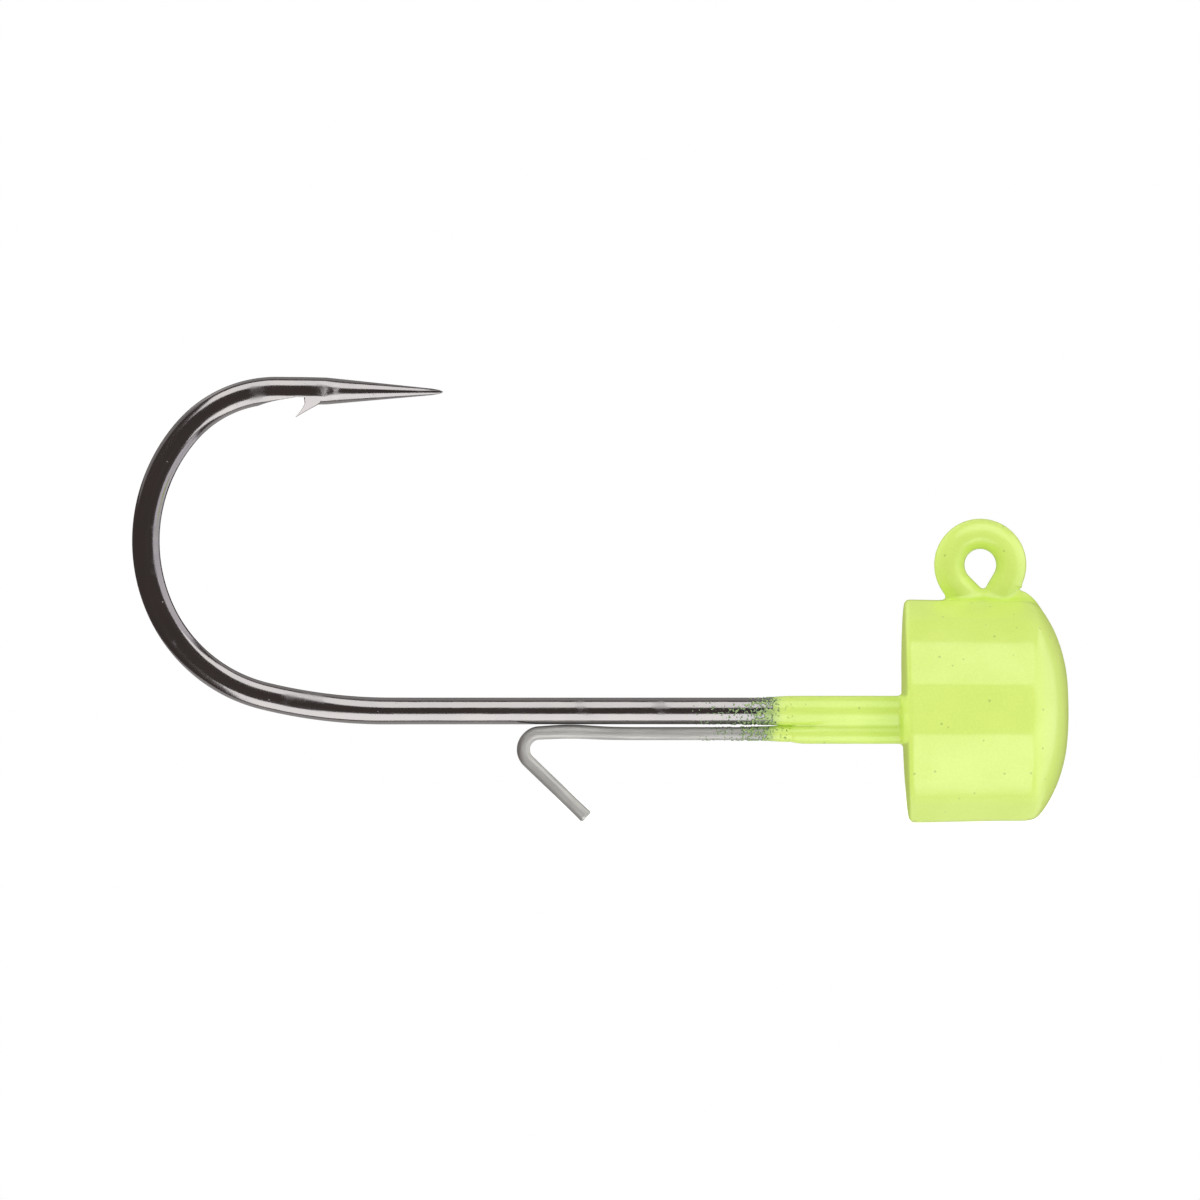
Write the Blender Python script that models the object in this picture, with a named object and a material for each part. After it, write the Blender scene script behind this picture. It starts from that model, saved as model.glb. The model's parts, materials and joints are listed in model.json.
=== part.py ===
"""Faceted lead jig head on a barbed jig hook, with a wire bait keeper and a powder coat.

The geometry is laid out from the centre of the head's back face: +X runs to the nose, the hook
shank lies along X, and +Z is the side of the hook point and the line-tie eye. Both wires stay in
the XZ plane. An empty named jig_head carries the layout to where it stands on the head's lowest
facet, centred under the assembly's bounding box.
"""
import math

import bmesh
import bpy
from mathutils import Vector

MM = 0.001

# Wires
HOOK_RADIUS = 0.51 * MM
HOOK_SIDES = 16
KEEPER_RADIUS = 0.25 * MM
KEEPER_SIDES = 12
TURN_STEP = math.radians(10)

# Head: a lightly crowned back, broad facets with a narrow one on each diagonal, and a smooth dome
CORNER_RADIUS = 4.285 * MM
BROAD_FACET = math.radians(25.13)
NARROW_FACET = math.radians(90) - 3 * BROAD_FACET
CORNER_BLUNT = math.radians(1.1)
HEAD_LENGTH = 6.318 * MM
CROWN_DEPTH = 0.243 * MM
CROWN_START = math.radians(34)
CROWN_STEPS = 4
DOME_DEPTH = 1.235 * MM
DOME_POWER = 2.65
DOME_RATIOS = (1.17, 1.09, 1.03, 0.98, 0.92, 0.84, 0.73, 0.58, 0.40, 0.20, 0.04)
SHOULDER_START = 1.30
SHOULDER_SHARPNESS = 18

# Powder coat: a thin film, and the clearance between nested pieces
FILM = 0.07 * MM
GAP = 0.015 * MM
COLLAR_LENGTH = 4.75 * MM
CHANNEL_LENGTH = 5.50 * MM

# Line-tie eye and the bend below it, at the front end of the hook wire
EYE_CENTRE = Vector((2.95, 5.59)) * MM
EYE_RADIUS = 1.185 * MM
EYE_TAIL_AT = math.radians(225)
EYE_NECK_AT = math.radians(-30)
EYE_TAIL = 0.74 * MM
JIG_BEND_RADIUS = 1.2 * MM

# Hook bend: radius and turn of each arc, from the shank round to the point
SHANK_BEHIND_HEAD = 19.69 * MM
BEND_ARCS = (
    (19.92 * MM, math.radians(13.83)),
    (5.88 * MM, math.radians(52.43)),
    (6.42 * MM, math.radians(64.04)),
    (4.64 * MM, math.radians(51.17)),
)
POINT_TIP_X = -17.63 * MM
POINT_TAPER = 4.45 * MM
POINT_TIP_RADIUS = 0.06 * MM

# Barb and the cut behind it: distance back from the point's tip, and down from its axis
BARB_HALF_WIDTH = 0.19 * MM
BARB_ROOT_BACK = 4.55 * MM
BARB_FRONT_BACK = 4.74 * MM
BARB_HEEL_BACK = 5.30 * MM
BARB_TIP_BACK = 5.62 * MM
BARB_TIP_DROP = 0.98 * MM
CUT_DROP = 0.235 * MM
CUT_BACK = 5.65 * MM
CUT_RUNOUT = 1.80 * MM
CUT_RUNOUT_SLOPE = 0.27
CUT_HALF_WIDTH = 0.70 * MM

# Bait keeper: an anchor leg in the head, a run under the shank, and a turned-down spike
KEEPER_DROP = 0.865 * MM
KEEPER_ANCHOR_X = 2.70 * MM
KEEPER_ANCHOR_LEG = 0.90 * MM
KEEPER_ANCHOR_RADIUS = 0.50 * MM
KEEPER_BEND_X = -13.92 * MM
KEEPER_BEND_RADIUS = 0.61 * MM
KEEPER_BEND_TURN = math.radians(136.1)
KEEPER_SPIKE = 3.00 * MM


# Shared construction


def clear_scene():
    for obj in list(bpy.data.objects):
        bpy.data.objects.remove(obj, do_unlink=True)


def heading_vector(angle):
    return Vector((math.cos(angle), math.sin(angle)))


def trace(start, heading, legs):
    """Points (x, z) along straight legs (length,) and turns (radius, angle), anticlockwise positive."""
    here = start.copy()
    points = [here]
    for leg in legs:
        if len(leg) == 1:
            here = here + leg[0] * heading_vector(heading)
            points.append(here)
            continue
        radius, angle = leg
        centre = here + radius * heading_vector(heading + math.copysign(math.pi / 2, angle))
        arm = here - centre
        steps = max(2, math.ceil(abs(angle) / TURN_STEP))
        for step in range(1, steps + 1):
            swing = heading_vector(angle * step / steps)
            here = centre + Vector((
                arm.x * swing.x - arm.y * swing.y,
                arm.x * swing.y + arm.y * swing.x,
            ))
            points.append(here)
        heading += angle
    return points, heading


def add_object(name, mesh):
    mesh.shade_smooth()
    mesh.set_sharp_from_angle(angle=math.radians(35))
    obj = bpy.data.objects.new(name, mesh)
    bpy.context.collection.objects.link(obj)
    return obj


def loft(name, rings):
    """One closed body through rings of equal length, with a flat cap on each end."""
    bm = bmesh.new()
    loops = [[bm.verts.new(point) for point in ring] for ring in rings]
    for first, second in zip(loops, loops[1:]):
        for i, vertex in enumerate(first):
            j = (i + 1) % len(first)
            bm.faces.new((vertex, first[j], second[j], second[i]))
    bm.faces.new(reversed(loops[0]))
    bm.faces.new(loops[-1])
    bmesh.ops.recalc_face_normals(bm, faces=bm.faces)
    mesh = bpy.data.meshes.new(name)
    bm.to_mesh(mesh)
    bm.free()
    return add_object(name, mesh)


def wire(name, points, radii, sides):
    """A round wire along (x, z) points, with a radius for each point."""
    rings = []
    for i, point in enumerate(points):
        before = points[max(i - 1, 0)]
        after = points[min(i + 1, len(points) - 1)]
        along = (after - before).normalized()
        ring = []
        for k in range(sides):
            turn = 2 * math.pi * k / sides
            lift = radii[i] * math.cos(turn)
            side = radii[i] * math.sin(turn)
            ring.append((point.x - lift * along.y, side, point.y + lift * along.x))
        rings.append(ring)
    return loft(name, rings)


def plate(name, outline, half_width):
    """A flat plate from an (x, z) outline, centred on the XZ plane."""
    return loft(name, [[(x, y, z) for x, z in outline] for y in (-half_width, half_width)])


def make_cutter(obj):
    obj.hide_render = True
    obj.display_type = "WIRE"
    return obj


def boolean(obj, operation, other):
    modifier = obj.modifiers.new(operation.title(), "BOOLEAN")
    modifier.operation = operation
    modifier.solver = "EXACT"
    modifier.object = make_cutter(other)


def finish_material(obj, colour, roughness, metallic):
    material = bpy.data.materials.new(obj.name)
    material.use_nodes = True
    shader = material.node_tree.nodes["Principled BSDF"]
    shader.inputs["Base Color"].default_value = (*colour, 1.0)
    shader.inputs["Roughness"].default_value = roughness
    shader.inputs["Metallic"].default_value = metallic
    obj.data.materials.append(material)


# Hook wire


def hook_front_legs(extra_tail):
    """Start, heading and legs from the wire's cut end, round the eye and neck, to the shank."""
    tail = EYE_TAIL + extra_tail
    tail_heading = EYE_TAIL_AT - math.pi / 2
    start = EYE_CENTRE + EYE_RADIUS * heading_vector(EYE_TAIL_AT) - tail * heading_vector(tail_heading)
    eye_turn = EYE_TAIL_AT - EYE_NECK_AT
    neck_slope = math.pi / 2 + EYE_NECK_AT
    neck_top = EYE_CENTRE + EYE_RADIUS * heading_vector(EYE_NECK_AT)
    tangent = JIG_BEND_RADIUS * math.tan(neck_slope / 2)
    neck = neck_top.y / math.sin(neck_slope) - tangent
    shank_front = neck_top.x - neck_top.y / math.tan(neck_slope) - tangent
    legs = [(tail,), (EYE_RADIUS, -eye_turn), (neck,), (JIG_BEND_RADIUS, -neck_slope)]
    return start, tail_heading, legs, shank_front


def hook_front(extra_tail):
    """The part of the hook wire that the head and its coat enclose, with a stub of shank."""
    start, heading, legs, shank_front = hook_front_legs(extra_tail)
    points, _ = trace(start, heading, legs + [(shank_front + CHANNEL_LENGTH,)])
    return points


def hook_path():
    """The whole hook wire from its cut end to the point's tip, and the point's heading."""
    start, heading, legs, shank_front = hook_front_legs(0.0)
    legs.append((shank_front + SHANK_BEHIND_HEAD,))
    legs.extend((radius, -turn) for radius, turn in BEND_ARCS)
    points, heading = trace(start, heading, legs)
    run = (POINT_TIP_X - points[-1].x) / math.cos(heading)
    taper_start = points[-1] + (run - POINT_TAPER) * heading_vector(heading)
    tip = points[-1] + run * heading_vector(heading)
    return points + [taper_start, tip], heading


def make_hook():
    points, heading = hook_path()
    radii = [HOOK_RADIUS] * (len(points) - 1) + [POINT_TIP_RADIUS]
    hook = wire("hook", points, radii, HOOK_SIDES)
    tip = points[-1]
    along = heading_vector(heading)
    down = heading_vector(heading - math.pi / 2)

    def at(back, drop):
        return tuple(tip - back * along + drop * down)

    cut = (
        at(BARB_HEEL_BACK, CUT_DROP),
        at(CUT_BACK, CUT_DROP),
        at(CUT_BACK + CUT_RUNOUT, CUT_DROP + CUT_RUNOUT * CUT_RUNOUT_SLOPE),
        at(BARB_HEEL_BACK, CUT_DROP + CUT_RUNOUT),
    )
    barb = (
        at(BARB_ROOT_BACK, CUT_DROP),
        at(BARB_FRONT_BACK, HOOK_RADIUS),
        at(BARB_TIP_BACK, BARB_TIP_DROP),
        at(BARB_HEEL_BACK, HOOK_RADIUS),
        at(BARB_HEEL_BACK - GAP, CUT_DROP / 2),
    )
    boolean(hook, "DIFFERENCE", plate("barb_cut", cut, CUT_HALF_WIDTH))
    boolean(hook, "UNION", plate("barb_blade", barb, BARB_HALF_WIDTH))
    return hook, min(point.x for point in points) - HOOK_RADIUS


# Bait keeper


def keeper_front_legs():
    """Start, heading and legs from the keeper's buried end up to the start of its straight run."""
    start = Vector((
        KEEPER_ANCHOR_X,
        -KEEPER_DROP - KEEPER_ANCHOR_RADIUS - KEEPER_ANCHOR_LEG,
    ))
    legs = [(KEEPER_ANCHOR_LEG,), (KEEPER_ANCHOR_RADIUS, math.pi / 2)]
    return start, math.pi / 2, legs, KEEPER_ANCHOR_X - KEEPER_ANCHOR_RADIUS


def keeper_front(extra_end):
    start, heading, legs, run_front = keeper_front_legs()
    start = start - extra_end * heading_vector(heading)
    legs[0] = (legs[0][0] + extra_end,)
    points, _ = trace(start, heading, legs + [(run_front + CHANNEL_LENGTH,)])
    return points


def make_keeper():
    start, heading, legs, run_front = keeper_front_legs()
    legs += [
        (run_front - KEEPER_BEND_X,),
        (KEEPER_BEND_RADIUS, KEEPER_BEND_TURN),
        (KEEPER_SPIKE,),
    ]
    points, _ = trace(start, heading, legs)
    return wire("bait_keeper", points, [KEEPER_RADIUS] * len(points), KEEPER_SIDES)


# Head


def facet_radius(angle):
    """Distance from the head's axis to its facets, at an angle from +Y."""
    from_diagonal = abs(angle % (math.pi / 2) - math.pi / 4)
    facets = (
        (0.0, NARROW_FACET),
        (math.pi / 4 - BROAD_FACET, BROAD_FACET),
        (math.pi / 4, BROAD_FACET),
    )
    return min(
        CORNER_RADIUS * math.cos(width / 2) / math.cos(from_diagonal - centre)
        for centre, width in facets
    )


def section_angles():
    """Two angles for each of the head's 16 corners, so that the corners are slightly blunt."""
    angles = []
    for quarter in range(4):
        corner = quarter * math.pi / 2 + BROAD_FACET / 2
        for width in (BROAD_FACET, NARROW_FACET, BROAD_FACET, BROAD_FACET):
            angles += [corner - CORNER_BLUNT, corner + CORNER_BLUNT]
            corner += width
    return angles


def head_section(x, scale, inset, limit=None):
    """The head's outline at x: facets moved in by inset, blended into a circle of radius limit."""
    ring = []
    for angle in section_angles():
        radius = scale * (facet_radius(angle) - inset)
        if limit:
            blend = radius ** -SHOULDER_SHARPNESS + limit ** -SHOULDER_SHARPNESS
            radius = blend ** (-1 / SHOULDER_SHARPNESS)
        ring.append((x, radius * math.cos(angle), radius * math.sin(angle)))
    return ring


def head_form(name, inset):
    """The crowned back, faceted body and dome, moved in by inset on every side."""
    rings = []
    for step in range(CROWN_STEPS + 1):
        turn = CROWN_START + (math.pi / 2 - CROWN_START) * step / CROWN_STEPS
        x = inset + CROWN_DEPTH * (math.cos(CROWN_START) - math.cos(turn))
        rings.append(head_section(x, math.sin(turn), inset))
    dome_radius = facet_radius(0.0)

    def dome_x(ratio):
        return HEAD_LENGTH - inset - DOME_DEPTH * ratio ** DOME_POWER

    rings.append(head_section(dome_x(SHOULDER_START), 1.0, inset))
    for ratio in DOME_RATIOS:
        rings.append(head_section(dome_x(ratio), 1.0, inset, ratio * dome_radius))
    return loft(name, rings)


def wire_channels(obj, prefix):
    """Cut room for the hook and the keeper, with clearance, out of a piece that encloses them."""
    hook_points = hook_front(GAP)
    hook_radii = [HOOK_RADIUS + GAP] * len(hook_points)
    boolean(obj, "DIFFERENCE", wire(f"{prefix}_hook_channel", hook_points, hook_radii, HOOK_SIDES))
    keeper_points = keeper_front(GAP)
    keeper_radii = [KEEPER_RADIUS + GAP] * len(keeper_points)
    channel = wire(f"{prefix}_keeper_channel", keeper_points, keeper_radii, KEEPER_SIDES)
    boolean(obj, "DIFFERENCE", channel)


def make_casting():
    casting = head_form("head_casting", FILM)
    wire_channels(casting, "casting")
    return casting


def trim_to(points, x):
    """Wire points from their start to where the straight run ends at x."""
    return points[:-1] + [Vector((x, points[-1].y))]


def make_coat():
    """The film over the head, the eye and the first part of both wires, open at the collar's end."""
    coat = head_form("powder_coat", 0.0)
    hook_points = trim_to(hook_front(FILM), -COLLAR_LENGTH)
    hook_radii = [HOOK_RADIUS + FILM] * len(hook_points)
    boolean(coat, "UNION", wire("coat_on_hook", hook_points, hook_radii, HOOK_SIDES))
    keeper_points = trim_to(keeper_front(0.0), -COLLAR_LENGTH)
    keeper_radii = [KEEPER_RADIUS + FILM] * len(keeper_points)
    boolean(coat, "UNION", wire("coat_on_keeper", keeper_points, keeper_radii, KEEPER_SIDES))
    boolean(coat, "DIFFERENCE", head_form("coat_lining", FILM - GAP))
    wire_channels(coat, "coat")
    return coat


def make_jig_head():
    clear_scene()
    hook, rear_x = make_hook()
    parts = [hook, make_keeper(), make_casting(), make_coat()]
    finishes = {
        "hook": ((0.060, 0.050, 0.048), 0.22, 1.0),
        "bait_keeper": ((0.45, 0.45, 0.42), 0.38, 1.0),
        "head_casting": ((0.22, 0.23, 0.25), 0.60, 1.0),
        "powder_coat": ((0.60, 0.86, 0.09), 0.25, 0.0),
    }
    stand = bpy.data.objects.new("jig_head", None)
    bpy.context.collection.objects.link(stand)
    stand.location = (-(rear_x + HEAD_LENGTH) / 2, 0.0, facet_radius(0.0))
    for obj in bpy.context.collection.objects:
        if obj is not stand:
            obj.parent = stand
    for part in parts:
        finish_material(part, *finishes[part.name])


make_jig_head()
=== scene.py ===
import json
import math
import bpy
import numpy as np
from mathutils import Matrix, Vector, kdtree, noise


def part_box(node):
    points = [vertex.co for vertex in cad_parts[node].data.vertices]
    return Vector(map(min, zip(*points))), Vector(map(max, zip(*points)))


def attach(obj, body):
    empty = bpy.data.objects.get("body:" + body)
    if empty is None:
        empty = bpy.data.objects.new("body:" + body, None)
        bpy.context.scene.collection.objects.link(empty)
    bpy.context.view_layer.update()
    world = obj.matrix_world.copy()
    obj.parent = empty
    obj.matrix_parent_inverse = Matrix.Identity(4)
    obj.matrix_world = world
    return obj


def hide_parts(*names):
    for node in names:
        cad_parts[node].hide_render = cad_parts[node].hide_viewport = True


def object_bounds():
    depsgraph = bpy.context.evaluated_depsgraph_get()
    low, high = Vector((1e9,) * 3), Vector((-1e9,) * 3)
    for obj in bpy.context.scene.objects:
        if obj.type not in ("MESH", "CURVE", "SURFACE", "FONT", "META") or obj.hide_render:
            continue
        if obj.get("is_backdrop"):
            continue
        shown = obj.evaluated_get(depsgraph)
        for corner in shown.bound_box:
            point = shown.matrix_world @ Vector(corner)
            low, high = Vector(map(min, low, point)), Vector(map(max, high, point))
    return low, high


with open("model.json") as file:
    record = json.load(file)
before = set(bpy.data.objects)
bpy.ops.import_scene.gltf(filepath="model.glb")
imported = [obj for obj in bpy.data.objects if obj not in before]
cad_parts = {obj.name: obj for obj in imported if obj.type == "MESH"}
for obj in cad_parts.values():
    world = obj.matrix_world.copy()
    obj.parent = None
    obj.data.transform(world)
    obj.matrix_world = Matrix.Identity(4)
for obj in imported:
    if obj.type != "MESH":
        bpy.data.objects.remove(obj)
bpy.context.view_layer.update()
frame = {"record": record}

# The pieces are laid out in millimetres from the centre of the head's back face: +X to the nose,
# the shank along X, +Z to the hook point and the line-tie eye. placed() takes them to the frame.
MM = 0.001

# Wires, as in the CAD model
HOOK_RADIUS = 0.51
KEEPER_RADIUS = 0.25
KEEPER_DROP = 0.865
FILM = 0.07
EYE_CENTRE = np.array((2.95, 5.59))
EYE_RADIUS = 1.185
EYE_TAIL_AT = math.radians(225)
EYE_NECK_AT = math.radians(-30)
EYE_TAIL = 0.74
JIG_BEND_RADIUS = 1.2
SHANK_BEHIND_HEAD = 19.69
BEND_ARCS = (
    (19.92, math.radians(13.83)),
    (5.88, math.radians(52.43)),
    (6.42, math.radians(64.04)),
    (4.53, math.radians(50.17)),
)
WIRE_STEP = 0.12
HOOK_SIDES = 80

# Forged bend: its half width and half depth, where the forging fades in, and its flat sides
FORGED_WIDTH = 0.475
FORGED_DEPTH = 0.527
FORGED_FROM = 1.5
FORGED_FULL = 3.5
FLAT_ROUND_LIMIT = 2.2
FLAT_FORGED_CUT = 1.15
FLAT_POWER = 6

# Point: it narrows faster and faster, as (distance back from the sharp end, share of the wire)
POINT_TIP_X = -17.60
POINT_TAPER = 4.45
POINT_STEP = 0.045
POINT_PROFILE = (
    (0.0, 0.01),
    (0.05, 0.075),
    (0.15, 0.145),
    (0.42, 0.235),
    (0.84, 0.315),
    (POINT_TAPER, 0.975),
    (POINT_TAPER + 0.9, 1.0),
)
# A section power of 2 is round and 1 is a square on edge
ROUND_POWER = 2
RIDGE_POWER = 1.6
RIDGE_FADE_IN = (POINT_TAPER + 0.3, POINT_TAPER - 0.5)
RIDGE_FADE_OUT = (0.5, 0.1)
# Scuffs, as (distance back, length, strength), how high they reach and how deep they dent
SCUFFS = ((4.55, 0.17, 1.0), (4.10, 0.13, 0.8))
SCUFF_HEIGHT = 0.20
SCUFF_DENT = 0.02
# Painted shade on the sharp end: where it fades in, and how far round the upper side it reaches
TIP_SHADE_FADE = (0.85, 0.35)
TIP_SHADE_SIDE = (-0.6, 0.4)

# Barb and the cut behind it: distance back from the point's tip, and down from its axis
BARB_UPPER = ((5.26, 0.26), (5.22, 0.56), (5.63, 0.985))
BARB_LOWER = ((5.60, 1.0), (5.20, 0.74), (4.66, 0.46))
BARB_ROOT = (4.56, 0.26)
BARB_UPPER_COUNT = 12
BARB_LOWER_COUNT = 10
BARB_HEEL_BACK = 5.30
BARB_HALF_WIDTH = 0.485
BARB_NARROWING = 0.43
BARB_CHAMFER = 0.13
BARB_BEVEL = 0.06
BARB_EDGE = 0.012
NO_CUT = 9.0
CUT_DROP = 0.235
CUT_BACK = 5.65
CUT_RUNOUT_SLOPE = 0.19

# Bait keeper
KEEPER_ANCHOR_X = 2.70
KEEPER_ANCHOR_LEG = 0.90
KEEPER_ANCHOR_RADIUS = 0.50
KEEPER_BEND_X = -13.92
KEEPER_BEND_RADIUS = 0.61
KEEPER_BEND_TURN = math.radians(136.1)
KEEPER_SPIKE = 3.10
KEEPER_SIDES = 40
# The run springs up against the shank just before the bend, and is pressed thicker below
BOW_X = -12.75
BOW_LENGTH = 1.15
BOW_LIFT = 0.055
BOW_THICKENING = 0.042
BOW_FADE = 0.3
# The sheared end, as (distance from it, share of the wire), and how far it is squashed
KEEPER_END = ((0.0, 0.80), (0.02, 0.93), (0.055, 1.0), (0.12, 1.0))
KEEPER_SWELL = 0.05
KEEPER_SWELL_LENGTH = 0.30

# Head: facets as (angle from +Y, distance from the axis)
CORNER_RADIUS = 4.285
BROAD_FACET = math.radians(25.13)
NARROW_FACET = math.radians(90) - 3 * BROAD_FACET
CORNER_SHARPNESS = 100
FACE_RADIUS = CORNER_RADIUS * math.cos(BROAD_FACET / 2)
# Three facets that came out of the mould a little off
OFF_FACETS = {
    6: (math.radians(133.8), 4.186),
    8: (math.radians(177.7), FACE_RADIUS),
    10: (math.radians(224.5), 4.271),
}
HEAD_LENGTH = 6.318
BACK_LEAN = 0.023
FLARE = 0.0043
FLARE_START = 3.6
CROWN_DEPTH = 0.243
CROWN_APEX = -0.042
DOME_DEPTH = 1.235
DOME_POWER = 2.65
SHOULDER_SHARPNESS = 26
RIM_ROUNDING = 0.20
# Shares of the section up to which the crown and the dome are followed
CROWN_REACH = 0.985
CAP_REACH = 0.95
CAP_SHARE = 0.93

# Eye: the paint between its two ends, and the lead and paint that climb the front of the neck
NECK_RUN = 3.0
TAIL_RUN_ON = 0.25
OFF_ARC = 9.0
EYE_FILL = 0.01
EYE_FILL_LOW = 0.42
EYE_FILL_Z = (4.95, 4.45)
ROOT_X = 4.36
ROOT_Z = 3.92
ROOT_RADIUS = 0.70
ROOT_FLATNESS = 0.85
ROOT_FILLET = 0.12
EYE_FILLET = 0.34

# Collar: the coat on the two wires behind the head, thinner to its end and fuller to the head
COLLAR_END = 4.8
COLLAR_INTO_HEAD = 2.0
COLLAR_THINNING = 0.13
COLLAR_THIN_X = (-4.05, -4.75)
COLLAR_SAG = 0.07
COLLAR_SAG_X = (-4.8, -3.7)
SAG_DROP = 0.3
SAG_SWELL = 0.7
GROOVE_FILL = 0.03
GROOVE_FILL_MORE = 0.25
GROOVE_FILL_X = (-4.0, -2.6)
COLLAR_CORNER = 0.01
COLLAR_FILLET = 0.20

# Meshing of the coat and the lead: the cell, the box that is searched, and how the vertices relax
COAT_CELL = 0.066
COAT_SPACE = ((-5.0, -4.5, -4.5), (6.6, 4.5, 7.6))
CASTING_CELL = 0.17
CASTING_SPACE = ((-0.4, -4.4, -4.4), (6.6, 4.4, 4.4))
RELAX_ROUNDS = 4
RELAX_SHARE = 0.6
RELAX_LIMIT = 0.08
# Ripple of the paint, as (waves per millimetre, height)
RIPPLES = ((1.1, 0.006), (3.1, 0.0022))
# How far a fillet lifts the coat for the painted crease shade to be full
CREASE_SHADE_DEPTH = 0.06

# Paint edge on the wires: noise as (scale, share), and how much is bare at each place along X
SPOT_NOISE = ((11.0, 1.0), (21.0, 0.7), (2.2, 0.4))
BARE_LEVEL = (
    (-8.6, 1.10),
    (-8.2, 0.80),
    (-7.4, 0.55),
    (-6.5, 0.36),
    (-5.9, 0.18),
    (-5.4, -0.10),
    (-5.0, -0.50),
    (-4.7, -1.2),
)
TOP_THINNING = 0.42
TOP_THINNING_Z = (0.30, 0.48)
TOP_THINNING_X = (-4.7, -5.3)
SPOT_HEIGHT = 0.075
SPOT_DEPTH = -0.02
SPOT_LIMIT = 0.030
FULL_FILM_MORE = 0.038
FULL_FILM_X = (-5.2, -4.3)
SLEEVE_START = -8.5
SLEEVE_END = -3.85
SLEEVE_STEP = 0.015
SLEEVE_TUCK = 0.09
SLEEVE_TUCK_X = (-3.98, -3.86)

# Colours. The coat has two close shades, a deeper painted shade for its creases, and a painted glow
NICKEL = (0.365, 0.348, 0.340)
NICKEL_SHADE = (0.335, 0.324, 0.324)
NICKEL_DUST = (0.46, 0.44, 0.44)
NICKEL_SCUFF = (0.62, 0.60, 0.60)
# Painted shade for the dark reflection on the sharp end
NICKEL_TIP_SHADE = (0.06, 0.05, 0.05)
STEEL = (0.66, 0.66, 0.630)
STEEL_SHADE = (0.59, 0.59, 0.570)
STEEL_STREAK = (0.42, 0.42, 0.42)
COAT_LIGHT = (0.520, 0.645, 0.118)
COAT_DEEP = (0.490, 0.620, 0.100)
COAT_BLOOM = (0.80, 0.93, 0.30)
COAT_PIT = (0.20, 0.26, 0.05)
# Painted shade for the creases where the parts meet
COAT_CREASE_SHADE = (0.425, 0.61, 0.028)
COAT_THIN = (0.23, 0.34, 0.19)
# Painted glow of the coat, standing in for its fluorescent pigment
COAT_PAINTED_GLOW = (0.46, 0.80, 0.02, 1)
PAINTED_GLOW_STRENGTH = 0.16
LEAD = (0.20, 0.21, 0.23)
LEAD_LIGHT = (0.32, 0.33, 0.35)

# Studio: the picture's width at the object and the camera's place in millimetres
PICTURE_WIDTH = 45.907
CAMERA_X = -0.023
CAMERA_RISE = 4.246
CAMERA_DISTANCE = 700
SENSOR_WIDTH = 36.0
LIGHT_CENTRE_HEIGHT = 8
ROOM_COLOUR = (1.0, 0.80, 0.76, 1)
ROOM_STRENGTH = 0.095
# Floor: where it fades out is in shares of its radius
FLOOR_RADIUS = 160
FLOOR_SIDES = 96
FLOOR_GAP = 0.02
FLOOR_COLOUR = (0.40, 0.40, 0.40, 1)
FLOOR_GLOW = 0.85
FLOOR_FADE = (0.6, 0.98)
WHITE = (1, 1, 1, 1)

SHANK_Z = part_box("hook")[0].z + HOOK_RADIUS * MM
BACK_X = frame["record"]["mounts"][0]["pos_m"][0]


def placed(points):
    """Layout millimetres to frame metres."""
    return np.asarray(points, float) * MM + np.array((BACK_X, 0.0, SHANK_Z))


def smoothstep(low, high, value):
    t = np.clip((value - low) / (high - low), 0, 1)
    return t * t * (3 - 2 * t)


# ---------------------------------------------------------------- meshes


def heading_vector(angle):
    return np.array((math.cos(angle), math.sin(angle)))


def trace(start, heading, legs):
    """Points (x, z) and headings along legs: straight (length, 0, step) or turned (radius, angle, step)."""
    here = np.array(start, float)
    points, headings = [here], [heading]
    for size, angle, step in legs:
        if angle == 0:
            count = max(1, math.ceil(size / step))
            along = heading_vector(heading)
            points += [here + along * size * (i + 1) / count for i in range(count)]
            headings += [heading] * count
            here = points[-1]
            continue
        count = max(4, math.ceil(size * abs(angle) / step))
        sign = math.copysign(1, angle)
        centre = here + size * heading_vector(heading + sign * math.pi / 2)
        for i in range(count):
            turned = heading + angle * (i + 1) / count
            points.append(centre - size * heading_vector(turned + sign * math.pi / 2))
            headings.append(turned)
        heading += angle
        here = points[-1]
    return np.array(points), np.array(headings)


def new_object(name, vertices, faces, smooth_angle=40):
    """A piece from layout millimetres."""
    mesh = bpy.data.meshes.new(name)
    mesh.from_pydata(placed(vertices).tolist(), [], faces)
    mesh.validate()
    mesh.shade_smooth()
    if smooth_angle:
        mesh.set_sharp_from_angle(angle=math.radians(smooth_angle))
    obj = bpy.data.objects.new(name, mesh)
    bpy.context.scene.collection.objects.link(obj)
    return obj


def tube_faces(rings, sides):
    """Quads between rings, and a fan-free cap on each end."""
    faces = []
    for i in range(rings - 1):
        for k in range(sides):
            j = (k + 1) % sides
            faces.append((i * sides + k, i * sides + j, (i + 1) * sides + j, (i + 1) * sides + k))
    faces.append(tuple(reversed(range(sides))))
    last = (rings - 1) * sides
    faces.append(tuple(range(last, last + sides)))
    return faces


def sweep(name, points, headings, lift, side):
    """A wire: lift and side are each ring's offsets in the path's plane and along Y."""
    rings, sides = lift.shape
    x = points[:, None, 0] - lift * np.sin(headings)[:, None]
    z = points[:, None, 1] + lift * np.cos(headings)[:, None]
    vertices = np.stack((x, side, z), axis=-1).reshape(-1, 3)
    outward = [tuple(reversed(face)) for face in tube_faces(rings, sides)]
    obj = new_object(name, vertices, outward)
    steps = np.linalg.norm(np.diff(points, axis=0), axis=1)
    along = np.concatenate(((0.0,), np.cumsum(steps)))
    unrolled = np.stack((np.broadcast_to(along[:, None], lift.shape), lift, side), axis=-1)
    store(obj, "wire", unrolled.reshape(-1, 3))
    return obj


def store(obj, name, values):
    """A vector for each vertex, for a material to read."""
    attribute = obj.data.attributes.new(name, "FLOAT_VECTOR", "POINT")
    attribute.data.foreach_set("vector", np.asarray(values, np.float32).ravel())


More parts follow.
